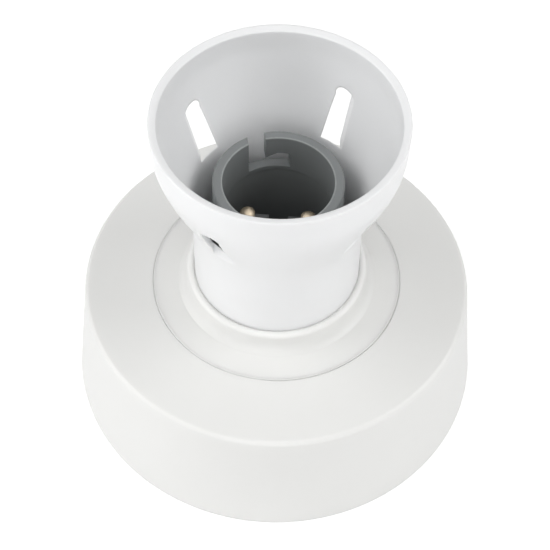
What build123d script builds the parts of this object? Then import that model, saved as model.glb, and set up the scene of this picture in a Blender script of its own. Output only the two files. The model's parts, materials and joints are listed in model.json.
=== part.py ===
from build123d import *
import os
from math import cos, radians, sin

# Batten lamp holder: a round lamp socket for a two-pin bayonet cap, on a base that screws to a ceiling.
# Millimetres. The origin is the centre of the back face, which lies against the ceiling.
# +Z runs out through the socket's mouth, and the two contact plungers stand on the X axis.
# A deep cover hides the base, a flared skirt screws down round the socket, and both lift off along +Z.

os.makedirs("parts", exist_ok=True)

# Fits
seat = 0.3  # between pieces that rest on or stand inside each other
slip = 0.1  # round a stem or a screw in its hole
neck_gap = 0.12  # round the skirt's neck where it turns in the collar
running = 0.07  # round the plunger's collar in its tube

# Socket sleeve
bore_r = 11.2
bore_step = 0.3  # the bore is wider below the lamp's cap
sleeve_wall = 2.0
sleeve_flange_t = 2.0
sleeve_out = 17.7  # from the upstand's top to the mouth
mouth_round = 0.35
entry_edge = 4.45
entry_w = 3.6
entry_drop = 8.6
arm_reach = 8.65
arm_h = 2.8
arm_rise = 1.2
arm_ramp = 2.5
slot_face_turn = 104.0  # side that the pin slots are cut from

# Contact carrier
socket_depth = 26.7  # from the mouth down to the carrier's floor
carrier_flange_t = 2.5
carrier_floor_t = 3.0
carrier_wall = 1.8
guide_h = 12.8
guide_w = 4.6
guide_in = 4.2  # from the plunger's axis towards the middle
guide_out = 3.4
pillar_wall = 1.1
terminal_wall = 1.1
carrier_ear_out = 2.5
carrier_ear_r = 3.2

# Contacts
contact_inset = 5.0  # from the bore's wall to the plunger's axis
plunger_r = 1.55
plunger_out = 3.9  # how far the tip stands above its guide
nose_h = 0.75
collar_step = 0.38
collar_h = 1.6
spigot_r = 0.8
spigot_l = 1.5
tube_wall = 0.9
spring_floor_t = 1.1  # brass between the terminal foot and the spring
spring_r = 1.45
wire_r = 0.25
spring_turns = 7
foot_w = 7.0
foot_h = 7.6
wire_hole_r = 1.7
wire_hole_drop = 4.6  # below the foot's top

# Screws
small_r = 1.3
small_head_r = 2.4
small_head_h = 1.8
large_r = 1.6
large_head_r = 3.2
large_head_h = 2.2
driver_slot_w = 0.8
driver_slot_d = 0.9

# Mounting base
base_floor = 3.0
base_rim_z = 9.0
base_rim_wall = 1.8
wire_room = 6.0  # under the carrier's terminal housings
cable_r = 10.25
cable_lip_h = 1.5
cable_lip_wall = 1.5
fix_x = 27.9
fix_w = 4.6
fix_l = 9.6
fix_recess_w = 9.0
fix_recess_d = 0.8
post_wall = 1.5
post_gap = 0.5  # between the post and the body's step
insert_l = 7.0
insert_wall = 0.9
well_turn = 135.0
well_room = 3.4  # between the well and the base's rim
well_wall = 1.3
well_h = 6.0
block_w = 7.0
block_h = 9.0
block_wire_r = 1.9
block_wire_z = 4.0  # above the base's floor

# Lampholder body: disc, collar, drum and the threaded upstand inside the collar
upstand_wall = 2.0
upstand_h = 19.0
groove_depth = 4.8  # from the cover's hole down to the groove that takes the neck
groove_floor_t = 2.0
disc_t = 2.4
disc_crown = 0.45
collar_wall = 1.6
collar_flare = 2.0
collar_waist_rise = 3.7
collar_lip_rise = 4.5
step_reach = 2.75  # ledge under the cover's edge
drum_wall = 2.0
ring_wall = 1.8
body_rib_count = 8
body_rib_t = 1.5
ear_drop = 6.3
ear_t = 2.5
key_w = 2.0
key_turn = 45.0
key_depth = 1.6

# Skirt: neck, trumpet and rim band
skirt_wall = 1.5
neck_l = 21.7
trumpet_low_out = 1.3
trumpet_low_rise = 9.0
trumpet_high_out = 5.45
trumpet_high_rise = 19.0
band_rise = 26.0
band_draft = 0.35
band_top_rise = 31.0
rim_draft = 0.07
rim_rise = 33.15
rim_r = 25.15
rim_wall = 1.65
rim_fall = 0.5  # the rim's top face slopes in
rim_round = 0.15
skirt_turn = 12.5  # where the thread brings the skirt to rest

# Slots through the trumpet: their sides run along the mould's pull, 45 degrees off each slot
slot_turn = 45.0
slot_foot_rise = 10.45
slot_h = 11.7
slot_foot_w = 5.3
slot_top_w = 4.35
slot_round_rise = 1.75
slot_foot_fall = 2.0  # the foot falls this much for each millimetre outwards

# Cover
cover_pass = 1.15  # the cover's hole passes over the skirt's rim
seam = 0.25  # open joint between cover and body
cover_room = 6.15  # from the posts out to the cover's foot
cover_taper = 3.0
cover_crown = 1.2  # rise of the top face from shoulder to seam
cover_wall = 2.0
cover_edge_round = 1.0
cover_foot_round = 0.15
cover_foot_z = 0.1
cover_rib_count = 6
cover_rib_depth = 1.6
cover_rib_t = 1.4

# Worked out from the above: radii, from the lamp's bore outwards and from the rim outwards
sleeve_r = bore_r + sleeve_wall
upstand_r = sleeve_r + seat + upstand_wall
neck_bore_r = upstand_r + seat
neck_r = neck_bore_r + skirt_wall
collar_bore_r = neck_r + neck_gap
collar_waist_r = collar_bore_r + collar_wall
collar_foot_r = collar_waist_r + collar_flare
ring_r = collar_bore_r + ring_wall
carrier_ear_y = ring_r + carrier_ear_out
core_r = bore_r + bore_step - seat
contact_x = bore_r - contact_inset
tube_r = plunger_r + collar_step + running + tube_wall
pillar_hole_r = tube_r + 2 * slip
pocket_w = foot_w + 2 * seat
screw_x = contact_x + foot_w / 2 + 2 * seat  # underside of the terminal screw's head
cover_hole_r = rim_r + cover_pass
disc_r = cover_hole_r - seam
step_r = disc_r + step_reach
post_r = large_r + 2 * slip + insert_wall + post_wall
post_y = step_r + post_gap + post_r
cover_foot_r = post_y + post_r + cover_room
cover_shoulder_r = cover_foot_r - cover_taper
base_rim_r = cover_foot_r - cover_wall - seat
well_out = base_rim_r - base_rim_wall - well_room - well_wall - seat - block_w / 2

# Heights, from the base's floor up through the carrier to the cover's top, the mouth and the rim
carrier_under_z = base_floor + wire_room + foot_h + seat
carrier_top_z = carrier_under_z + carrier_flange_t
shelf_z = carrier_top_z + sleeve_flange_t + 2 * seat
groove_floor_z = shelf_z + groove_floor_t
upstand_top_z = groove_floor_z + upstand_h
mouth_z = upstand_top_z + sleeve_out
carrier_floor_z = mouth_z - socket_depth
guide_top_z = carrier_floor_z + guide_h
tip_z = guide_top_z + plunger_out
bore_l = mouth_z - tip_z - seat
pillar_roof_z = carrier_floor_z - slip
tube_top_z = pillar_roof_z - seat
foot_top_z = carrier_under_z - seat
spring_seat_z = foot_top_z + spring_floor_t
wire_z = foot_top_z - wire_hole_drop
cover_top_z = groove_floor_z + groove_depth
cover_shoulder_z = cover_top_z - cover_crown
cover_slope = cover_crown / (cover_shoulder_r - cover_hole_r)
cover_draft = cover_taper / cover_shoulder_z
disc_under_z = cover_top_z - disc_t
step_z = cover_top_z - cover_slope * (step_r - cover_hole_r) - cover_wall - seat
ear_top_z = cover_top_z - ear_drop
drum_foot_z = ear_top_z - ear_t
neck_foot_z = groove_floor_z + seat
trumpet_foot_z = neck_foot_z + neck_l
rim_z = trumpet_foot_z + rim_rise
slot_foot_z = trumpet_foot_z + slot_foot_rise
slot_top_z = slot_foot_z + slot_h


def cover_inner_r(z):
    """Radius of the cover's inside at a height."""
    return cover_foot_r - cover_draft * z - cover_wall


def radial_plane(turn):
    """Upright plane through the axis: local x runs out at this angle and local y is up."""
    out = Vector(cos(radians(turn)), sin(radians(turn)), 0)
    return Plane(origin=(0, 0, 0), x_dir=out, z_dir=out.rotate(Axis.Z, -90))


def side_plane(turn):
    """Upright plane through the axis that faces out at this angle, with local y up."""
    out = Vector(cos(radians(turn)), sin(radians(turn)), 0)
    return Plane(origin=(0, 0, 0), x_dir=out.rotate(Axis.Z, 90), z_dir=out)


def corner(sketch, r, z):
    """The sketch's corner nearest to a point."""
    return sketch.vertices().sort_by_distance((r, z))[0]


def ring_section(inner, outer, low, high):
    """Rectangle of a ring's section, for a sketch on the upright plane."""
    with Locations(((inner + outer) / 2, (low + high) / 2)):
        Rectangle(outer - inner, high - low)


# Mounting base: floor, drafted rim, posts, cable entry, fixing slots and terminal wells
with BuildPart() as mounting_base:
    with BuildSketch(Plane.XZ) as section:
        with BuildLine():
            Polyline(
                (0, 0),
                (base_rim_r, 0),
                (cover_inner_r(base_rim_z) - seat, base_rim_z),
                (cover_inner_r(base_rim_z) - seat - base_rim_wall, base_rim_z),
                (base_rim_r - base_rim_wall, base_floor),
                (0, base_floor),
                close=True,
            )
        make_face()
    revolve(axis=Axis.Z)
    with BuildSketch(Plane.XY.offset(base_floor)):
        with Locations((0, post_y), (0, -post_y)):
            Circle(post_r)
    extrude(amount=drum_foot_z - base_floor)
    for turn in (90, 270):
        with BuildSketch(radial_plane(turn)):
            ring_section(post_y, cover_inner_r(base_rim_z) - base_rim_wall, base_floor, base_rim_z)
        extrude(amount=body_rib_t / 2, both=True)
    with BuildSketch(Plane.XY.offset(base_floor)):
        Circle(cable_r + cable_lip_wall)
    extrude(amount=cable_lip_h)
    for turn in (well_turn, well_turn + 180):
        place = Vector(well_out, 0, base_floor).rotate(Axis.Z, turn)
        with BuildSketch(Plane(origin=place, x_dir=Vector(1, 0, 0).rotate(Axis.Z, turn))):
            Rectangle(block_w + 2 * (seat + well_wall), block_w + 2 * (seat + well_wall))
            Rectangle(block_w + 2 * seat, block_w + 2 * seat, mode=Mode.SUBTRACT)
            Rectangle(block_w, 2 * (block_w + well_wall), mode=Mode.SUBTRACT)
        extrude(amount=well_h)
    Hole(cable_r)
    with BuildSketch(Plane.XY):
        with Locations((fix_x, 0), (-fix_x, 0)):
            SlotOverall(fix_l, fix_w)
    extrude(amount=base_floor, mode=Mode.SUBTRACT)
    with BuildSketch(Plane.XY.offset(base_floor)):
        with Locations((fix_x, 0), (-fix_x, 0)):
            SlotOverall(fix_l + fix_recess_w - fix_w, fix_recess_w)
    extrude(amount=-fix_recess_d, mode=Mode.SUBTRACT)
    with Locations((0, post_y, drum_foot_z), (0, -post_y, drum_foot_z)):
        Hole(large_r + slip + insert_wall + slip, depth=insert_l + 2 * seat)
mounting_base.part.label = "mounting_base"
export_step(mounting_base.part, "parts/mounting_base.step")


# Cover: drafted side, crowned top with the hole for body and skirt, and ribs that stop on the base's rim
with BuildPart() as cover:
    with BuildSketch(Plane.XZ) as section:
        with BuildLine():
            Polyline(
                (cover_foot_r, cover_foot_z),
                (cover_shoulder_r, cover_shoulder_z),
                (cover_hole_r, cover_top_z),
                (cover_hole_r, cover_top_z - cover_wall),
                (cover_shoulder_r - cover_wall, cover_shoulder_z - cover_wall),
                (cover_inner_r(cover_foot_z), cover_foot_z),
                close=True,
            )
        make_face()
        for inset in (0, cover_wall):
            fillet(corner(section, cover_shoulder_r - inset, cover_shoulder_z - inset), cover_edge_round)
        fillet(corner(section, cover_hole_r, cover_top_z), cover_edge_round / 4)
        fillet(corner(section, cover_foot_r, cover_foot_z), cover_foot_round)
    revolve(axis=Axis.Z)
    rib_foot_z = base_rim_z + seat
    for rib in range(cover_rib_count):
        with BuildSketch(radial_plane(rib * 360 / cover_rib_count)):
            with BuildLine():
                Polyline(
                    (cover_inner_r(rib_foot_z) - cover_rib_depth, rib_foot_z),
                    (cover_inner_r(rib_foot_z) + cover_wall / 2, rib_foot_z),
                    (cover_shoulder_r - cover_wall / 2, cover_shoulder_z - cover_wall / 2),
                    (cover_shoulder_r - cover_wall - cover_rib_depth, cover_shoulder_z - cover_wall / 2),
                    close=True,
                )
            make_face()
        extrude(amount=cover_rib_t / 2, both=True)
cover.part.label = "cover"
export_step(cover.part, "parts/cover.step")


# Lampholder body: one moulding, turned section first, then ears, ribs, bosses and the sleeve's key
with BuildPart() as lampholder_body:
    foot_z = cover_top_z + disc_crown
    waist = (collar_waist_r, foot_z + collar_waist_rise)
    lip_r = (collar_waist_r + collar_bore_r) / 2
    with BuildSketch(Plane.XZ) as section:
        with BuildLine():
            Line((collar_bore_r, disc_under_z), (disc_r, disc_under_z))
            Line((disc_r, disc_under_z), (disc_r, cover_top_z))
            Line((disc_r, cover_top_z), (collar_foot_r, foot_z))
            rise = Spline(
                (collar_foot_r, foot_z),
                waist,
                tangents=[(-1, 0.35), (0, 1)],
            )
            ThreePointArc(rise @ 1, (lip_r, foot_z + collar_lip_rise), (collar_bore_r, waist[1] + 0.3))
            Line((collar_bore_r, waist[1] + 0.3), (collar_bore_r, disc_under_z))
        make_face()
        ring_section(collar_bore_r, ring_r, carrier_top_z, disc_under_z)
        ring_section(sleeve_r + seat, ring_r, shelf_z, groove_floor_z)
        ring_section(sleeve_r + seat, upstand_r, shelf_z, upstand_top_z)
        ring_section(disc_r - drum_wall, disc_r, step_z - drum_wall, disc_under_z)
        ring_section(step_r - drum_wall, step_r, drum_foot_z, step_z)
        ring_section(disc_r - drum_wall, step_r, step_z - drum_wall, step_z)
    revolve(axis=Axis.Z)
    for turn in range(body_rib_count):
        with BuildSketch(radial_plane((turn + 0.5) * 360 / body_rib_count)):
            ring_section(ring_r - ring_wall / 2, step_r - drum_wall / 2, shelf_z, disc_under_z)
        extrude(amount=body_rib_t / 2, both=True)
    with BuildSketch(Plane.XY.offset(carrier_top_z)):
        with Locations((0, carrier_ear_y), (0, -carrier_ear_y)):
            Circle(carrier_ear_r)
        Circle(collar_bore_r, mode=Mode.SUBTRACT)
    extrude(amount=disc_under_z - carrier_top_z)
    with BuildSketch(Plane.XY.offset(drum_foot_z)):
        for side in (1, -1):
            with Locations((0, side * post_y)):
                Circle(post_r)
            with Locations((0, side * (step_r - drum_wall / 2 + post_y) / 2)):
                Rectangle(2 * post_r, post_y - step_r + drum_wall / 2)
    extrude(amount=ear_t)
    with BuildSketch(radial_plane(key_turn)):
        ring_section(collar_bore_r - key_depth, ring_r - ring_wall / 2, carrier_top_z, shelf_z)
    extrude(amount=key_w / 2, both=True)
    with Locations((0, post_y, ear_top_z), (0, -post_y, ear_top_z)):
        Hole(large_r + 2 * slip, depth=ear_t)
    with BuildSketch(Plane.XY.offset(carrier_top_z)):
        with Locations((0, carrier_ear_y), (0, -carrier_ear_y)):
            Circle(small_r + slip)
    extrude(amount=disc_under_z - carrier_top_z - ring_wall / 2, mode=Mode.SUBTRACT)
lampholder_body.part.label = "lampholder_body"
export_step(lampholder_body.part, "parts/lampholder_body.step")


# Skirt: a straight neck that opens into a trumpet with a near-upright rim band, and four slots
def skirt_profile(inset, rim_corner):
    """One side of the skirt's wall from the neck's foot up to the rim, moved in by the inset."""
    neck = (neck_r - inset, trumpet_foot_z)
    band_top = (rim_r - rim_draft - inset, trumpet_foot_z + band_top_rise)
    Line((neck_r - inset, neck_foot_z), neck)
    Spline(
        neck,
        (neck_r + trumpet_low_out - inset, trumpet_foot_z + trumpet_low_rise),
        (neck_r + trumpet_high_out - inset, trumpet_foot_z + trumpet_high_rise),
        (rim_r - band_draft - inset, trumpet_foot_z + band_rise),
        band_top,
        tangents=[(0, 1), (rim_corner[0] - band_top[0], rim_corner[1] - band_top[1])],
    )
    Line(band_top, rim_corner)


def slot_edge(height, width):
    """Middle and half-width of a slot at a height, seen along the mould's pull."""
    share = (height - trumpet_foot_z - trumpet_low_rise) / (trumpet_high_rise - trumpet_low_rise)
    wall_r = neck_r + trumpet_low_out + share * (trumpet_high_out - trumpet_low_out) - skirt_wall
    return wall_r * sin(radians(slot_turn)), width / 2 * cos(radians(slot_turn))


# The slots are cut by four blocks: slot-shaped along the pull, with a foot that falls outwards
with BuildPart() as skirt_slots:
    foot_mid, foot_half = slot_edge(slot_foot_z, slot_foot_w)
    top_mid, top_half = slot_edge(slot_top_z - slot_round_rise, slot_top_w)
    crest_mid, _ = slot_edge(slot_top_z - slot_round_rise / 2, slot_top_w)
    foot_r = foot_mid / sin(radians(slot_turn))
    sill_z = slot_foot_z - slot_foot_fall * (rim_r - foot_r)
    with BuildSketch(Plane.XZ):
        with BuildLine():
            Polyline(
                (0, slot_foot_z),
                (foot_r, slot_foot_z),
                (rim_r, sill_z),
                (rim_r, rim_z),
                (0, rim_z),
                close=True,
            )
        make_face()
    revolve(axis=Axis.Z)
    with BuildSketch(side_plane(skirt_turn + 90)):
        for side in (1, -1):
            with BuildLine():
                sides = Polyline(
                    (side * (top_mid - top_half), slot_top_z - slot_round_rise),
                    (side * (foot_mid - foot_half), slot_foot_z),
                    (side * (foot_mid - foot_half), sill_z),
                    (side * (foot_mid + foot_half), sill_z),
                    (side * (foot_mid + foot_half), slot_foot_z),
                    (side * (top_mid + top_half), slot_top_z - slot_round_rise),
                )
                ThreePointArc(sides @ 1, (side * crest_mid, slot_top_z), sides @ 0)
            make_face()
    extrude(amount=rim_r, both=True, mode=Mode.INTERSECT)


with BuildPart() as skirt:
    with BuildSketch(Plane.XZ) as section:
        with BuildLine():
            skirt_profile(0, (rim_r, rim_z))
            skirt_profile(skirt_wall, (rim_r - rim_wall, rim_z - rim_fall))
            Line((rim_r, rim_z), (rim_r - rim_wall, rim_z - rim_fall))
            Line((neck_r, neck_foot_z), (neck_bore_r, neck_foot_z))
        make_face()
        fillet(corner(section, rim_r, rim_z), rim_round)
        fillet(corner(section, rim_r - rim_wall, rim_z - rim_fall), rim_round)
    revolve(axis=Axis.Z)
    add(skirt_slots.part, mode=Mode.SUBTRACT)
skirt.part.label = "skirt"
export_step(skirt.part, "parts/skirt.step")


# Socket sleeve: tube with a flange at its foot, and two hooked slots that catch the lamp's pins
with BuildPart() as socket_sleeve:
    flange_foot_z = shelf_z - seat - sleeve_flange_t
    with BuildSketch(Plane.XZ) as section:
        with BuildLine():
            Polyline(
                (sleeve_r, mouth_z),
                (bore_r, mouth_z),
                (bore_r, mouth_z - bore_l),
                (bore_r + bore_step, mouth_z - bore_l),
                (bore_r + bore_step, flange_foot_z),
                (collar_bore_r - seat, flange_foot_z),
                (collar_bore_r - seat, flange_foot_z + sleeve_flange_t),
                (sleeve_r, flange_foot_z + sleeve_flange_t),
                close=True,
            )
        make_face()
        fillet(corner(section, sleeve_r, mouth_z), mouth_round)
    revolve(axis=Axis.Z)
    floor_z = mouth_z - entry_drop
    for turn in (slot_face_turn, slot_face_turn + 180):
        with BuildSketch(side_plane(turn)):
            with BuildLine():
                Polyline(
                    (entry_edge, mouth_z + sleeve_wall),
                    (entry_edge, floor_z),
                    (entry_edge - arm_reach, floor_z),
                    (entry_edge - arm_reach, floor_z + arm_h + arm_rise),
                    (entry_edge - entry_w - arm_ramp, floor_z + arm_h + arm_rise),
                    (entry_edge - entry_w, floor_z + arm_h),
                    (entry_edge - entry_w, mouth_z + sleeve_wall),
                    close=True,
                )
            make_face()
        extrude(amount=sleeve_r + seat, mode=Mode.SUBTRACT)
    with BuildSketch(radial_plane(key_turn)):
        ring_section(collar_bore_r - key_depth - seat, collar_bore_r, flange_foot_z, shelf_z)
    extrude(amount=key_w / 2 + seat, both=True, mode=Mode.SUBTRACT)
socket_sleeve.part.label = "socket_sleeve"
export_step(socket_sleeve.part, "parts/socket_sleeve.step")


# Contact carrier: flange, hollow core, guides for the plungers, tube bosses and terminal housings
with BuildPart() as contact_carrier:
    with BuildSketch(Plane.XZ) as section:
        ring_section(0, ring_r, carrier_under_z, carrier_top_z)
        ring_section(core_r - carrier_wall, core_r, carrier_under_z, carrier_floor_z)
        ring_section(0, core_r, carrier_floor_z - carrier_floor_t, carrier_floor_z)
    revolve(axis=Axis.Z)
    with BuildSketch(Plane.XY.offset(carrier_under_z)):
        for side in (1, -1):
            with Locations((0, side * carrier_ear_y)):
                Circle(carrier_ear_r)
            with Locations((0, side * (ring_r + carrier_ear_y) / 2)):
                Rectangle(2 * carrier_ear_r, carrier_ear_y - ring_r + carrier_ear_r)
    extrude(amount=carrier_flange_t)
    with BuildSketch(Plane.XY.offset(carrier_top_z)):
        with Locations((contact_x, 0), (-contact_x, 0)):
            Circle(pillar_hole_r + pillar_wall)
    extrude(amount=carrier_floor_z - carrier_top_z)
    with BuildSketch(Plane.XY.offset(carrier_floor_z)):
        for side in (1, -1):
            with Locations((side * (contact_x + (guide_out - guide_in) / 2), 0)):
                Rectangle(guide_in + guide_out, guide_w)
    extrude(amount=guide_h)
    with BuildSketch(Plane.XY.offset(carrier_under_z)):
        with Locations((contact_x, 0), (-contact_x, 0)):
            Rectangle(pocket_w + 2 * terminal_wall, pocket_w + 2 * terminal_wall)
            Rectangle(pocket_w, pocket_w, mode=Mode.SUBTRACT)
    extrude(amount=-(foot_h + seat))
    with BuildSketch(Plane.XY.offset(carrier_under_z)):
        with Locations((contact_x, 0), (-contact_x, 0)):
            Circle(pillar_hole_r)
    extrude(amount=pillar_roof_z - carrier_under_z, mode=Mode.SUBTRACT)
    with BuildSketch(Plane.XY.offset(guide_top_z)):
        with Locations((contact_x, 0), (-contact_x, 0)):
            Circle(plunger_r + slip)
    extrude(amount=-(guide_top_z - pillar_roof_z), mode=Mode.SUBTRACT)
    with BuildSketch(Plane.XZ):
        with Locations((contact_x, wire_z), (-contact_x, wire_z)):
            Circle(wire_hole_r + seat)
    extrude(amount=pocket_w, both=True, mode=Mode.SUBTRACT)
    for turn in (0, 180):
        with BuildSketch(side_plane(turn).offset(contact_x)):
            with Locations((0, wire_z)):
                Circle(small_head_r + seat)
        extrude(amount=pocket_w, mode=Mode.SUBTRACT)
    with BuildSketch(Plane.XY.offset(carrier_under_z)):
        with Locations((0, carrier_ear_y), (0, -carrier_ear_y)):
            Circle(small_r + 2 * slip)
    extrude(amount=carrier_flange_t, mode=Mode.SUBTRACT)
contact_carrier.part.label = "contact_carrier"
export_step(contact_carrier.part, "parts/contact_carrier.step")


# Contacts, one set each side: brass pillar with its terminal foot, sprung plunger, spring and screw
def terminal_pillar(x):
    """Square terminal foot with a tube above it that holds the spring and the plunger."""
    outward = 0 if x > 0 else 180
    with BuildPart() as pillar:
        with BuildSketch(Plane.XY.offset(foot_top_z)):
            with Locations((x, 0)):
                RectangleRounded(foot_w, foot_w, seat)
        extrude(amount=-foot_h)
        with BuildSketch(Plane.XY.offset(foot_top_z)):
            with Locations((x, 0)):
                Circle(tube_r)
        extrude(amount=tube_top_z - foot_top_z)
        with BuildSketch(Plane.XY.offset(spring_seat_z)):
            with Locations((x, 0)):
                Circle(tube_r - tube_wall)
        extrude(amount=tube_top_z - spring_seat_z, mode=Mode.SUBTRACT)
        with BuildSketch(Plane.XZ):
            with Locations((x, wire_z)):
                Circle(wire_hole_r)
        extrude(amount=foot_w, both=True, mode=Mode.SUBTRACT)
        with BuildSketch(side_plane(outward).offset(contact_x)):
            with Locations((0, wire_z)):
                Circle(small_r + slip)
        extrude(amount=foot_w, mode=Mode.SUBTRACT)
    return pillar.part


def plunger(x):
    """Blunt-nosed pin with a collar that stops under the guide and a spigot for the spring."""
    collar_top_z = tube_top_z - slip
    collar_foot_z = collar_top_z - collar_h
    with BuildPart() as pin:
        with BuildSketch(Plane.XZ):
            with BuildLine():
                Polyline(
                    (0, tip_z),
                    (0, collar_foot_z - spigot_l),
                    (spigot_r, collar_foot_z - spigot_l),
                    (spigot_r, collar_foot_z),
                    (plunger_r + collar_step, collar_foot_z),
                    (plunger_r + collar_step, collar_top_z),
                    (plunger_r, collar_top_z),
                    (plunger_r, tip_z - nose_h),
                )
                TangentArc((0, tip_z), (plunger_r, tip_z - nose_h), tangent=(1, 0))
            make_face()
        revolve(axis=Axis.Z)
    return pin.part.moved(Location((x, 0, 0)))


def plunger_spring(x):
    """Open coil between the tube's floor and the plunger's collar."""
    foot_z = spring_seat_z + seat + wire_r
    head_z = tube_top_z - slip - collar_h - seat - wire_r
    with BuildPart() as spring:
        with BuildLine():
            coil = Helix((head_z - foot_z) / spring_turns, head_z - foot_z, spring_r, center=(x, 0, foot_z))
        with BuildSketch(Plane(origin=coil @ 0, z_dir=coil % 0)):
            RegularPolygon(wire_r, 6)
        sweep(path=coil)
    return spring.part


def slotted_screw(radius, length, head_r, head_h):
    """Pan-head screw with a driver slot: head up, its underside at the origin."""
    with BuildPart() as screw:
        Cylinder(head_r, head_h, align=(Align.CENTER, Align.CENTER, Align.MIN))
        fillet(screw.edges().sort_by(Axis.Z)[-1], head_h / 3)
        Cylinder(radius, length, align=(Align.CENTER, Align.CENTER, Align.MAX))
        chamfer(screw.edges().sort_by(Axis.Z)[0], radius / 4)
        with Locations((0, 0, head_h)):
            Box(
                2 * head_r + slip,
                driver_slot_w,
                driver_slot_d,
                align=(Align.CENTER, Align.CENTER, Align.MAX),
                mode=Mode.SUBTRACT,
            )
    return screw.part


for side_name, side in (("left", -1), ("right", 1)):
    contact_pieces = {
        "terminal_pillar": terminal_pillar(side * contact_x),
        "plunger": plunger(side * contact_x),
        "plunger_spring": plunger_spring(side * contact_x),
        "terminal_screw": slotted_screw(
            small_r, screw_x - contact_x - wire_hole_r / 2, small_head_r, small_head_h
        ).moved(Location((side * screw_x, 0, wire_z), (0, side * 90, 0))),
    }
    for piece_name, piece in contact_pieces.items():
        piece.label = piece_name + "_" + side_name
        export_step(piece, "parts/" + piece.label + ".step")


# Loop and earth terminals: brass blocks in the base's wells, each with a screw down onto its wire
def terminal_block(turn):
    """Brass block with a wire hole across it and a screw hole from the top."""
    with BuildPart() as block:
        Box(block_w, block_w, block_h, align=(Align.CENTER, Align.CENTER, Align.MIN))
        fillet(block.edges().filter_by(Axis.Z), seat)
        with Locations(Location((0, 0, block_wire_z), (90, 0, 0))):
            Hole(block_wire_r)
        with Locations((0, 0, block_h)):
            Hole(large_r + slip, depth=block_h - block_wire_z)
    place = Vector(well_out, 0, base_floor).rotate(Axis.Z, turn)
    return block.part.moved(Location(place, (0, 0, turn)))


for terminal_name, turn in (("loop_terminal", well_turn), ("earth_terminal", well_turn + 180)):
    block = terminal_block(turn)
    block.label = terminal_name
    export_step(block, "parts/" + terminal_name + ".step")
    head_z = base_floor + block_h + seat
    top = Vector(well_out, 0, head_z).rotate(Axis.Z, turn)
    screw = slotted_screw(large_r, block_h + seat - block_wire_z, large_head_r, large_head_h)
    screw = screw.moved(Location(top, (0, 0, turn)))
    screw.label = terminal_name + "_screw"
    export_step(screw, "parts/" + screw.label + ".step")


# Fasteners in pairs: the body's screws and their brass inserts, and the carrier's screws from behind
with BuildPart() as body_screws:
    with Locations((0, post_y, ear_top_z), (0, -post_y, ear_top_z)):
        add(slotted_screw(large_r, ear_t + insert_l, large_head_r, large_head_h))
body_screws.part.label = "body_screws"
export_step(body_screws.part, "parts/body_screws.step")

with BuildPart() as base_inserts:
    with Locations((0, post_y, drum_foot_z - seat), (0, -post_y, drum_foot_z - seat)):
        Cylinder(large_r + slip + insert_wall, insert_l, align=(Align.CENTER, Align.CENTER, Align.MAX))
        Cylinder(
            large_r + slip, insert_l, align=(Align.CENTER, Align.CENTER, Align.MAX), mode=Mode.SUBTRACT
        )
base_inserts.part.label = "base_inserts"
export_step(base_inserts.part, "parts/base_inserts.step")

with BuildPart() as carrier_screws:
    with Locations(
        Location((0, carrier_ear_y, carrier_under_z), (180, 0, 0)),
        Location((0, -carrier_ear_y, carrier_under_z), (180, 0, 0)),
    ):
        add(slotted_screw(small_r, carrier_flange_t + shelf_z - carrier_top_z, small_head_r, small_head_h))
carrier_screws.part.label = "carrier_screws"
export_step(carrier_screws.part, "parts/carrier_screws.step")
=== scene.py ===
# %% [markdown]
# A batten lamp holder, dressed for its portrait
#
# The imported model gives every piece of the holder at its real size, in metres, with its back face on z = 0.
# This script adds what a moulder and a plater would: finishes, soft edges, the coarse thread and two thin
# rings, then a floor, lamps and a camera. Nothing here moves or resizes a piece of the frame.

import json
import math

import bpy
import numpy as np
from mathutils import Matrix, Vector


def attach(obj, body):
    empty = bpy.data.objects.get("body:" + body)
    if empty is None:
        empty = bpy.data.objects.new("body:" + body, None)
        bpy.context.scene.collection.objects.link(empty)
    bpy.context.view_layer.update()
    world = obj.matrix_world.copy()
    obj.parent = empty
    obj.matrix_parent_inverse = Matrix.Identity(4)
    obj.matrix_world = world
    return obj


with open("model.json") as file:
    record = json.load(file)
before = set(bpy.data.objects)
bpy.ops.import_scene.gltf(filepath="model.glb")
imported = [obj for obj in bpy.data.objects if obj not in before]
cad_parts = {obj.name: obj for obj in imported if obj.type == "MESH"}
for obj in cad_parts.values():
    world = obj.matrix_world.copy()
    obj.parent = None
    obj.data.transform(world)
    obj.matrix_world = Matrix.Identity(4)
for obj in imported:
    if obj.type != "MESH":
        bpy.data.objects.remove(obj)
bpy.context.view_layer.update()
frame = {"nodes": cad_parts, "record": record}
MM = 0.001

# %% [markdown]
# The camera comes first, because everything after it is judged through it.
# A small product shot is taken from some way off with a long lens, which keeps the circles round.
# Blender wants a place and a turn. Both are worked out from four plain facts: how high the camera looks down
# from, how far round the object it stands, how far away it is, and how much it is rolled.

# %% Camera
CAMERA_ELEVATION = math.radians(53.915)
CAMERA_AZIMUTH = math.radians(4.0)
CAMERA_DISTANCE = 351.9 * MM
CAMERA_ROLL = math.radians(1.177)
CAMERA_LENS = 107.88
CAMERA_TARGET = Vector((-0.336, -0.024, 29.13)) * MM


def camera_turn(azimuth, elevation, roll):
    """Columns are the picture's right, its up and the way back to the camera.
    Back points out at the azimuth and up at the elevation. Right is level, and the roll turns it up."""
    back = Vector(
        (
            math.sin(azimuth) * math.cos(elevation),
            -math.cos(azimuth) * math.cos(elevation),
            math.sin(elevation),
        )
    )
    level = Vector((math.cos(azimuth), math.sin(azimuth), 0))
    upward = back.cross(level)
    right = math.cos(roll) * level + math.sin(roll) * upward
    up = math.cos(roll) * upward - math.sin(roll) * level
    return Matrix((right, up, back)).transposed()


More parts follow.
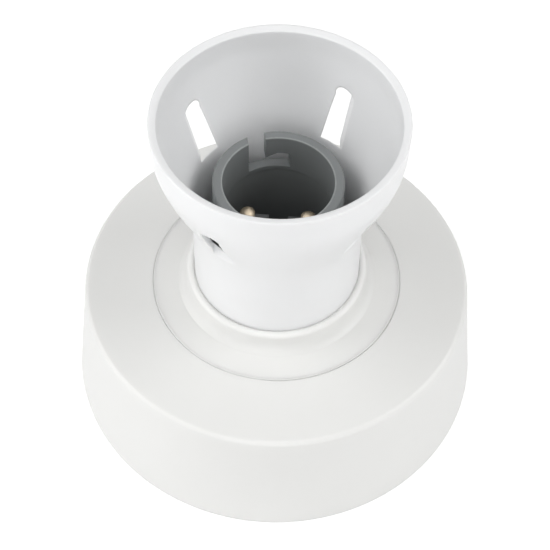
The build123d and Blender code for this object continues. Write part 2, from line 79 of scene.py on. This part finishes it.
def make_camera():
    """The camera stands back from its target along the third column of its turn."""
    data = bpy.data.cameras.new("camera")
    data.lens = CAMERA_LENS
    camera = bpy.data.objects.new("camera", data)
    turn = camera_turn(CAMERA_AZIMUTH, CAMERA_ELEVATION, CAMERA_ROLL)
    camera.location = CAMERA_TARGET + turn.col[2] * CAMERA_DISTANCE
    camera.rotation_euler = turn.to_euler()
    bpy.context.scene.collection.objects.link(camera)
    return camera


bpy.context.scene.camera = make_camera()
print("camera stands", round(bpy.context.scene.camera.location.z / MM), "mm above the floor")

# %% [markdown]
# Shader sums are easier to read as sums than as boxes and wires.
# This small class holds one socket of a material's node tree. Adding to it, taking away from it or
# multiplying it adds a Math node, also when the plain number comes first, as in 1 - mask.
# Every other node comes from one method: its settings are set before its sockets, because some settings
# change which sockets there are.


# %% Shader sums
class Wire:
    """One output socket in a node tree, with arithmetic."""

    def __init__(self, tree, socket=None):
        self.tree = tree
        self.socket = socket

    def node(self, kind, settings=None, sockets=None, out=0):
        """Adds a shader node of this kind and gives back one of its outputs as a Wire."""
        made = self.tree.nodes.new("ShaderNode" + kind)
        for name, value in (settings or {}).items():
            setattr(made, name, value)
        for name, value in (sockets or {}).items():
            if isinstance(value, Wire):
                self.tree.links.new(value.socket, made.inputs[name])
            else:
                made.inputs[name].default_value = value
        return Wire(self.tree, made.outputs[out]) if made.outputs else made

    def math(self, operation, first, second):
        """One Math node on two values, each a Wire or a number."""
        return self.node("Math", {"operation": operation}, {0: first, 1: second})

    def __add__(self, other):
        return self.math("ADD", self, other)

    def __sub__(self, other):
        return self.math("SUBTRACT", self, other)

    def __rsub__(self, other):
        return self.math("SUBTRACT", other, self)

    def __mul__(self, other):
        return self.math("MULTIPLY", self, other)

    __radd__ = __add__
    __rmul__ = __mul__

    def noise(self, size, detail=2.0):
        """Cloudy noise from 0 to 1 in Object coordinates, with lumps of about this size."""
        place = self.node("TexCoord", out="Object")
        return self.node("TexNoise", None, {"Vector": place, "Scale": 1 / size, "Detail": detail})

    def height(self):
        """Distance above the back face, in metres."""
        return self.node("SeparateXYZ", None, {0: self.node("TexCoord", out="Object")}, out="Z")

    def radius(self):
        """Distance from the upright axis, in metres."""
        place = self.node("TexCoord", out="Object")
        flat = self.node("VectorMath", {"operation": "MULTIPLY"}, {0: place, 1: (1, 1, 0)})
        return self.node("VectorMath", {"operation": "LENGTH"}, {0: flat}, out="Value")

    def edges(self, radius):
        """Normal that turns round every edge within this radius, as if the edge were rounded."""
        return self.node("Bevel", {"samples": 6}, {"Radius": radius})

    def rippled(self, grain, height, edge, strength=1.0):
        """Bump normal: the grain times this height, laid over edges rounded by this radius."""
        sockets = {"Strength": strength, "Distance": height, "Height": grain, "Normal": self.edges(edge)}
        return self.node("Bump", None, sockets)

    def surface(self, sockets):
        """The material's one shader, fed by these sockets, and its way out."""
        shader = self.node("BsdfPrincipled", None, sockets)
        self.node("OutputMaterial", None, {"Surface": shader})

    def between(self, mask, low, high):
        """Colour that goes from low to high as the mask goes from 0 to 1. Low may be a Wire."""
        mixer = {0: mask, 6: low if isinstance(low, Wire) else (*low, 1), 7: (*high, 1)}
        return self.node("Mix", {"data_type": "RGBA"}, mixer, out=2)


def new_material(name):
    """An empty material, and a Wire to hang its nodes on."""
    material = bpy.data.materials.new(name)
    material.use_nodes = True
    material.node_tree.nodes.clear()
    return material, Wire(material.node_tree)


print("shader sums ready")

# %% [markdown]
# The white pieces are moulded in a satin urea plastic. Nothing on it is quite even: the colour drifts a
# little where the melt flowed, and the mould's polish leaves a faint ripple that only shows in the gloss.
# A picture of plastic would be flat. Noise in the object's own coordinates gives both for every side,
# with the drift at the size of a thumb and the ripple well under a millimetre.
# Light also goes a little way into such plastic, so a thin wall never looks quite dark on its shaded side.
# The skirt is a slightly cooler white than the rest.

# %% White mouldings
WARM_LIGHT, WARM_DARK = (0.83, 0.83, 0.815), (0.805, 0.805, 0.79)
COOL_LIGHT, COOL_DARK = (0.885, 0.89, 0.895), (0.865, 0.87, 0.875)
WARM_POLISH, COOL_POLISH = 0.38, 0.35
DRIFT = 22 * MM
RIPPLE = 0.7 * MM
RIPPLE_HEIGHT = 0.004 * MM
PLASTIC_IOR = 1.5


def moulding(name, light, dark, polish, depth=0.0, edge=0.2 * MM):
    """Satin plastic: colour between dark and light by a slow drift, and roughness about the polish.
    The ripple is two noises added: the mould's own, and one three times finer at a third of its height."""
    material, start = new_material(name)
    cloud = start.noise(DRIFT, detail=3)
    grain = start.noise(RIPPLE) + start.noise(RIPPLE / 3) * 0.33
    start.surface(
        {
            "Base Color": start.between(cloud, dark, light),
            "Roughness": cloud * 0.08 + (polish - 0.04),
            "Normal": start.rippled(grain, RIPPLE_HEIGHT, edge),
            "IOR": PLASTIC_IOR,
            "Subsurface Weight": 1.0 if depth else 0.0,
            "Subsurface Radius": (1.0, 1.0, 1.0),
            "Subsurface Scale": depth,
        }
    )
    return material


finishes = {
    "white_moulding": moulding("white moulding", WARM_LIGHT, WARM_DARK, WARM_POLISH, 1.0 * MM),
    "skirt_moulding": moulding("skirt moulding", COOL_LIGHT, COOL_DARK, COOL_POLISH, 0.6 * MM, edge=0.6 * MM),
}
print("white mouldings:", ", ".join(finishes))

# %% [markdown]
# The socket's sleeve is grey, with a painted highlight: a paler line along the edge of its mouth, where light
# catches the rim. The highlight could be painted on by hand. Two distances find it for every side at once:
# how far out from the bore, and how far below the mouth. A fine noise breaks its edge.

# %% Sleeve with a painted highlight
MOUTH_Z = 60.7 * MM
BORE_R = 11.2 * MM
GREY_LIGHT, GREY_DARK = (0.255, 0.268, 0.27), (0.225, 0.238, 0.24)
# The pale grey below is the colour of the painted highlight on the mouth's edge.
GREY_PAINTED_HIGHLIGHT = (0.36, 0.375, 0.375)
SLEEVE_POLISH = 0.42
HIGHLIGHT_OUT, HIGHLIGHT_OUT_FADE = 0.12 * MM, 0.25 * MM  # how far the painted highlight reaches out from the bore
HIGHLIGHT_DOWN, HIGHLIGHT_DOWN_FADE = 0.35 * MM, 0.2 * MM  # and how far down from the mouth


def step_up(start, distance, width, ragged):
    """Mask that climbs from 0 to 1 while the distance goes from 0 to the width, with a ragged edge."""
    climb = distance * (1 / width) + (start.noise(0.5 * MM) - 0.5) * ragged
    return start.math("MAXIMUM", start.math("MINIMUM", climb, 1.0), 0.0)


def sleeve_with_painted_highlight(name, light, dark, painted_light, polish):
    """Grey plastic with a painted highlight: paler where it is both near the bore's edge and near the mouth.
    """
    material, start = new_material(name)
    near_bore = 1 - step_up(start, start.radius() - (BORE_R + HIGHLIGHT_OUT), HIGHLIGHT_OUT_FADE, 1.2)
    near_mouth = step_up(start, start.height() - (MOUTH_Z - HIGHLIGHT_DOWN), HIGHLIGHT_DOWN_FADE, 0.6)
    cloud = start.noise(9 * MM, detail=3)
    plain = start.between(cloud, dark, light)
    start.surface(
        {
            "Base Color": start.between(near_bore * near_mouth, plain, painted_light),
            "Roughness": cloud * 0.1 + (polish - 0.05),
            "Normal": start.rippled(start.noise(0.6 * MM), RIPPLE_HEIGHT, 0.25 * MM),
        }
    )
    return material


finishes["grey_moulding"] = sleeve_with_painted_highlight("grey moulding", GREY_LIGHT, GREY_DARK, GREY_PAINTED_HIGHLIGHT, SLEEVE_POLISH)
print("sleeve: grey, with a worn edge")

# %% [markdown]
# The contact carrier is nearly black. Its plunger guides carry painted light: their tops and the upper part
# of their shaded fronts are paler, so they read as lit. Here one distance is enough, because nothing else on
# the carrier stands so high.

# %% Dark carrier with painted light on its guides
GUIDE_TOP = 46.8 * MM
# The paler colour below is painted light on the guides' tops and shaded fronts.
DARK, GUIDE_PAINTED_LIGHT = (0.045, 0.048, 0.05), (0.14, 0.146, 0.148)
CARRIER_POLISH = 0.45
PAINTED_LIGHT_DOWN, PAINTED_LIGHT_FADE = 1.8 * MM, 0.4 * MM


def insulator_with_painted_light(name, dark, painted_lit_colour, polish):
    """Dark plastic that goes over to a painted lit colour some 1.5 mm below the guides' tops, so their tops
    and shaded fronts read as lit.
    """
    material, start = new_material(name)
    painted_light = step_up(start, start.height() - (GUIDE_TOP - PAINTED_LIGHT_DOWN), PAINTED_LIGHT_FADE, 1.0)
    cloud = start.noise(3 * MM, detail=3)
    start.surface(
        {
            "Base Color": start.between(painted_light, dark, painted_lit_colour),
            "Roughness": cloud * 0.1 + polish,
            "Normal": start.rippled(start.noise(0.5 * MM), 0.006 * MM, 0.15 * MM),
        }
    )
    return material


finishes["dark_insulator"] = insulator_with_painted_light("dark insulator", DARK, GUIDE_PAINTED_LIGHT, CARRIER_POLISH)
print("carrier: dark, with pale guides")

# %% [markdown]
# Brass and zinc plate are metals, so their colour is in the reflection and not under it.
# A turned brass pin has fine rings round its axis and dulls in patches; zinc plate is paler and more even.
# Rings round an upright axis only need the height, so a wave of z gives them to every pin at once.

# %% Metals
BRASS_BRIGHT, BRASS_DULL = (0.82, 0.70, 0.54), (0.62, 0.52, 0.38)
ZINC_BRIGHT, ZINC_DULL = (0.74, 0.75, 0.76), (0.58, 0.59, 0.6)


def turned_metal(name, bright, dull, polish, ring):
    """Metal with patches between dull and bright, and rings: a sine of height with this spacing."""
    material, start = new_material(name)
    patches = start.noise(1.6 * MM, detail=4)
    rings = start.math("SINE", start.height() * (2 * math.pi / ring), 0.0)
    start.surface(
        {
            "Base Color": start.between(patches, dull, bright),
            "Roughness": patches * 0.16 + polish,
            "Metallic": 1.0,
            "Normal": start.rippled(rings, 0.01 * MM, 0.1 * MM, strength=0.4),
        }
    )
    return material


finishes["brass"] = turned_metal("brass", BRASS_BRIGHT, BRASS_DULL, polish=0.4, ring=0.17 * MM)
finishes["plated_steel"] = turned_metal("zinc plate", ZINC_BRIGHT, ZINC_DULL, polish=0.24, ring=0.25 * MM)
print("metals: brass, plated_steel")

# %% [markdown]
# The frame's record says which finish each piece has. The pieces could be dressed one by one, but a loop over
# that list names nothing twice.

# %% Dress the frame's pieces
for part in frame["record"]["subparts"]:
    piece = frame["nodes"][part["node"]]
    for place in piece.material_slots:
        place.material = finishes[part["material_slot"]]

# %% [markdown]
# The skirt screws down on a coarse thread, which only shows once the skirt is lifted. The frame leaves the
# body's upstand plain, so the ridge is made here. A ridge that climbs round a cylinder is one formula:
# every point has an angle along the thread and a place across it, and the radius, the angle and the height
# follow from those two. All the points are worked out in one go and handed to Blender as arrays.

# %% Coarse thread on the body's upstand
UPSTAND_R = 15.5 * MM
THREAD_FOOT = 27.5 * MM
THREAD_PITCH = 6.0 * MM
THREAD_TURNS = 2.2
THREAD_HEIGHT = 0.2 * MM
THREAD_WIDTH = 1.5 * MM


def grid_mesh(name, points, closed=False):
    """A mesh of quads over a grid of points, given as an array of rows by columns by three.
    A closed one joins its last row to its first and its last column to its first, as a ring does.
    Each quad goes along the rows first, so it faces outward where the rows go round and the columns go up."""
    rows, columns = points.shape[:2]
    place = np.arange(rows * columns).reshape(rows, columns)
    place = np.pad(place, int(closed), mode="wrap")[int(closed) :, int(closed) :]
    quads = np.stack([place[:-1, :-1], place[1:, :-1], place[1:, 1:], place[:-1, 1:]], axis=-1).reshape(-1, 4)
    sheet = bpy.data.meshes.new(name)
    sheet.from_pydata(points.reshape(-1, 3).tolist(), [], quads.tolist())
    sheet.shade_smooth()
    piece = bpy.data.objects.new(name, sheet)
    bpy.context.scene.collection.objects.link(piece)
    return piece


def thread_points(steps=500, across=13):
    """Ridge round the upstand: radius R + h f(u) e(a), height z0 + pitch a / 2 pi + w u, u from -1/2 to 1/2.
    f is a flat-topped hump, 1.25 (1 - (2u)^4) - 1/4, that ends inside the upstand, and e fades both ends."""
    around = np.linspace(0, 2 * np.pi * THREAD_TURNS, steps)
    angle, u = np.meshgrid(around, np.linspace(-0.5, 0.5, across), indexing="ij")
    hump = 1.25 * (1 - (2 * u) ** 4) - 0.25
    fade = np.clip(np.minimum(angle, angle[-1:] - angle) / 0.35, 0, 1)
    radius = UPSTAND_R + THREAD_HEIGHT * (hump * fade - 0.15 * (1 - fade))
    height = THREAD_FOOT + THREAD_PITCH * angle / (2 * np.pi) + THREAD_WIDTH * u
    return np.stack([radius * np.cos(angle), radius * np.sin(angle), height], axis=-1)


thread = grid_mesh("skirt_thread", thread_points())
thread.data.materials.append(finishes["white_moulding"])
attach(thread, "base")
print("thread ridge:", len(thread.data.polygons), "faces")

# %% [markdown]
# The frame leaves running room round the neck, and an open joint between disc and cover.
# In the photo both places look nearly shut. So the collar's lip gets a fine land against the neck, and
# the disc a small step under its edge, which makes the joint a shallow groove and not a dark crack.
# Each is a ring with a flat top. One formula gives both sections, a superellipse: with the power 1 it is
# an ellipse, and with a smaller power it comes close to a rectangle with soft corners.
# Light that goes into so thin a ring would come out inside the body and be lost, and the ring would look
# dark, so its finish is the same moulding with no depth.

# %% Land at the collar's lip and step at the disc's edge
LIP_R = 17.42 * MM
LIP_Z = 33.3 * MM
LAND_OUT = 0.115 * MM
LAND_THICK = 0.3 * MM
DISC_R = 26.05 * MM
DISC_Z = 28.8 * MM
STEP_OUT = 0.22 * MM
STEP_DOWN = 0.05 * MM
STEP_THICK = 0.4 * MM


def ring_points(middle_r, middle_z, half_out, half_up, power, steps=240, corners=24):
    """Ring whose section is r = middle + half_out c, z = middle + half_up s.
    c and s are the section angle's cosine and sine, each raised to the power with its sign kept."""
    turn, angle = np.meshgrid(
        np.arange(steps) * 2 * np.pi / steps,
        np.arange(corners) * 2 * np.pi / corners,
        indexing="ij",
    )
    c, s = (np.sign(wave) * np.abs(wave) ** power for wave in (np.cos(angle), np.sin(angle)))
    radius = middle_r + half_out * c
    return np.stack([radius * np.cos(turn), radius * np.sin(turn), middle_z + half_up * s], axis=-1)


STEP_Z = DISC_Z - STEP_DOWN - STEP_THICK / 2
rings = {
    "collar_land": ring_points(LIP_R, LIP_Z - LAND_THICK / 2, LAND_OUT, LAND_THICK / 2, power=0.3),
    "disc_step": ring_points(DISC_R, STEP_Z, STEP_OUT, STEP_THICK / 2, power=0.4),
}
thin_white = moulding("thin white moulding", WARM_LIGHT, WARM_DARK, WARM_POLISH)
for ring_name, ring_place in rings.items():
    ring = grid_mesh(ring_name, ring_place, closed=True)
    ring.data.materials.append(thin_white)
    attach(ring, "base")
print("rings:", ", ".join(rings))

# %% [markdown]
# The holder was photographed on white with no shadow to speak of. The floor here is a pale matt sheet.
# The camera sees a little of its own glow on top of the light that falls on it, so it reads as white
# all round, and only the shadow close to the foot stays. Gloss sees the same white.
# The lamps' light thins out across the sheet, so the glow grows from a little way off to keep it even.

# %% Floor and world
FLOOR_HALF = 3.0
FLOOR_ALBEDO = 0.92
GLOW_NEAR, GLOW_FAR = 0.35, 0.64
GLOW_START, GLOW_REACH = 300 * MM, 900 * MM
WORLD_LEVEL = 0.39


def seen_directly(start):
    """1 for camera, glossy and transmission rays and 0 for the rest, as a Wire."""
    kinds = ("Is Camera Ray", "Is Glossy Ray", "Is Transmission Ray")
    rays = [start.node("LightPath", out=kind) for kind in kinds]
    return start.math("MINIMUM", rays[0] + rays[1] + rays[2], 1.0)


def make_floor():
    """A square sheet on z = 0: matt, with a glow that only the camera, gloss and glass see."""
    sheet = bpy.data.meshes.new("floor")
    corners = np.array([(-1, -1, 0), (1, -1, 0), (1, 1, 0), (-1, 1, 0)], float) * FLOOR_HALF
    sheet.from_pydata(corners.tolist(), [], [(0, 1, 2, 3)])
    floor = bpy.data.objects.new("floor", sheet)
    bpy.context.scene.collection.objects.link(floor)
    material, start = new_material("white sheet")
    pale = start.between(start.noise(60 * MM), (FLOOR_ALBEDO,) * 3, (FLOOR_ALBEDO + 0.02,) * 3)
    matt = start.node("BsdfDiffuse", None, {"Color": pale})
    far = step_up(start, start.radius() - GLOW_START, GLOW_REACH, 0.0)
    strength = seen_directly(start) * (far * (GLOW_FAR - GLOW_NEAR) + GLOW_NEAR)
    glow = start.node("Emission", None, {"Color": (1, 1, 1, 1), "Strength": strength})
    start.node("OutputMaterial", None, {"Surface": start.node("AddShader", None, {0: matt, 1: glow})})
    sheet.materials.append(material)
    return floor


def make_world():
    """White all round: plain level for light, and full white where it is seen or mirrored."""
    world = bpy.data.worlds.new("white room")
    world.use_nodes = True
    world.node_tree.nodes.clear()
    start = Wire(world.node_tree)
    level = seen_directly(start) * (1 - WORLD_LEVEL) + WORLD_LEVEL
    sky = start.node("Background", None, {"Color": (1, 1, 1, 1), "Strength": level})
    start.node("OutputWorld", None, {"Surface": sky})
    bpy.context.scene.world = world


make_floor()
make_world()
print("floor and world are white")

# %% [markdown]
# In the photo the trumpet is lit deep inside, yet the gap round the sleeve is dark. Two high boxes, left and
# right, do that: they reach the trumpet's wall and pass over the gap. A box beside the camera lights the far
# wall and the top. The upright sides are brighter than the top, and the left is the brightest, so a low strip
# stands at the left and a low box in front. All are large for so small an object, so no shadow's edge shows.

# %% Lamps
LAMPS = {  # place in metres, size, watts
    "high left box": ((-0.6, 0.0, 0.6), 0.4, 1.65),
    "high right box": ((0.6, 0.0, 0.6), 0.4, 2.2),
    "camera box": ((-0.1, -0.5, 0.7), 0.5, 1.0),
    "left strip": ((-0.62, -0.25, 0.22), 0.25, 0.7),
    "front box": ((0.05, -0.75, 0.25), 0.5, 1.05),
}


def make_lamp(name, place, size, power):
    """A square area lamp that faces the holder's middle."""
    data = bpy.data.lights.new(name, "AREA")
    data.shape = "SQUARE"
    data.size = size
    data.energy = power
    lamp = bpy.data.objects.new(name, data)
    lamp.location = place
    lamp.rotation_euler = (Vector(place) - CAMERA_TARGET).to_track_quat("Z", "Y").to_euler()
    bpy.context.scene.collection.objects.link(lamp)


for lamp_name, lamp_facts in LAMPS.items():
    make_lamp(lamp_name, *lamp_facts)
bpy.context.scene.view_settings.view_transform = "Standard"
print("lamps:", ", ".join(LAMPS))
